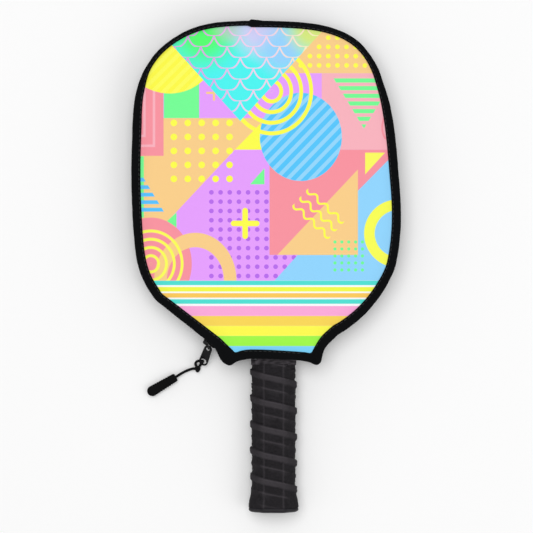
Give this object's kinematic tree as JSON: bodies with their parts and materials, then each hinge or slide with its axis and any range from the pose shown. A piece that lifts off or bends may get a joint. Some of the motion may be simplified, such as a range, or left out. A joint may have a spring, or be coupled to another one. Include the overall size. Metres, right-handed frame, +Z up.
{
  "type": "paddle case",
  "caption": "Zipped neoprene racket-sports paddle case with bound edges, a corded zip pull and an open throat that lets the wrapped paddle handle stick out.",
  "frame": {"origin": "on the table under the middle of the part's outer box, leaving the free pull cord out", "axes": "+Y along the case from handle to head, +X to the right across the case, +Z up through its thickness from the plain back to the printed front"},
  "size_m": [0.2201, 0.4018, 0.028],
  "materials": {
    "plain_neoprene": "matte knitted neoprene",
    "printed_neoprene": "matte knitted neoprene with a bright printed pattern",
    "binding_tape": "ribbed woven tape, matte",
    "zip_tape": "fine herringbone woven tape",
    "zip_coil": "semi-gloss nylon coil",
    "slider_metal": "black enamelled die casting, lightly worn edges",
    "cord": "braided polyester cord",
    "moulded_grip": "satin moulded rubber",
    "paddle_core": "polymer honeycomb, matte",
    "paddle_face": "textured composite sheet",
    "edge_guard": "satin moulded rubber",
    "grip_wrap": "synthetic leather wrap, soft sheen",
    "handle_pallet": "rigid foam",
    "butt_cap": "satin moulded rubber"
  },
  "bodies": {
    "case_back": {"back_panel": "plain_neoprene", "back_rim_binding": "binding_tape", "back_throat_binding": "binding_tape", "back_zip_tape": "zip_tape", "back_zip_coil": "zip_coil", "side_gusset_back": "zip_tape", "paddle_core": "paddle_core", "paddle_face_front": "paddle_face", "paddle_face_back": "paddle_face", "edge_guard": "edge_guard", "grip_wrap": "grip_wrap", "handle_pallet_front": "handle_pallet", "handle_pallet_back": "handle_pallet", "butt_cap": "butt_cap"},
    "front_cover": {"front_panel": "printed_neoprene", "front_rim_binding": "binding_tape", "front_throat_binding": "binding_tape", "front_zip_tape": "zip_tape", "front_zip_coil": "zip_coil", "side_gusset_front": "zip_tape"},
    "slider": {"slider_body": "slider_metal", "slider_arch": "slider_metal"},
    "pull_tab": {"pull_tab": "slider_metal"},
    "pull_cord": {"cord_loop": "cord", "pull_cord": "cord", "cord_knot": "cord", "pull_grip": "moulded_grip"}
  },
  "joints": [
    {"name": "cover_fold", "type": "hinge", "parent": "case_back", "child": "front_cover", "pos_m": [0.08148, -0.04322, 0.014], "axis": [0.7214, 0.6925, 0], "range_deg": [0, 178]},
    {"name": "zip_slide", "type": "slide", "parent": "case_back", "child": "slider", "axis": [-0.7833, 0.6216, 0], "range_m": [0, 0.044]},
    {"name": "tab_lift", "type": "hinge", "parent": "slider", "child": "pull_tab", "pos_m": [-0.04628, -0.06569, 0.014], "axis": [-0.7833, 0.6216, 0], "range_deg": [0, 70]},
    {"name": "cord_swing", "type": "hinge", "parent": "pull_tab", "child": "pull_cord", "pos_m": [-0.0518, -0.078, 0.0052], "axis": [0, 0, 1], "range_deg": [-30, 60]}
  ]
}
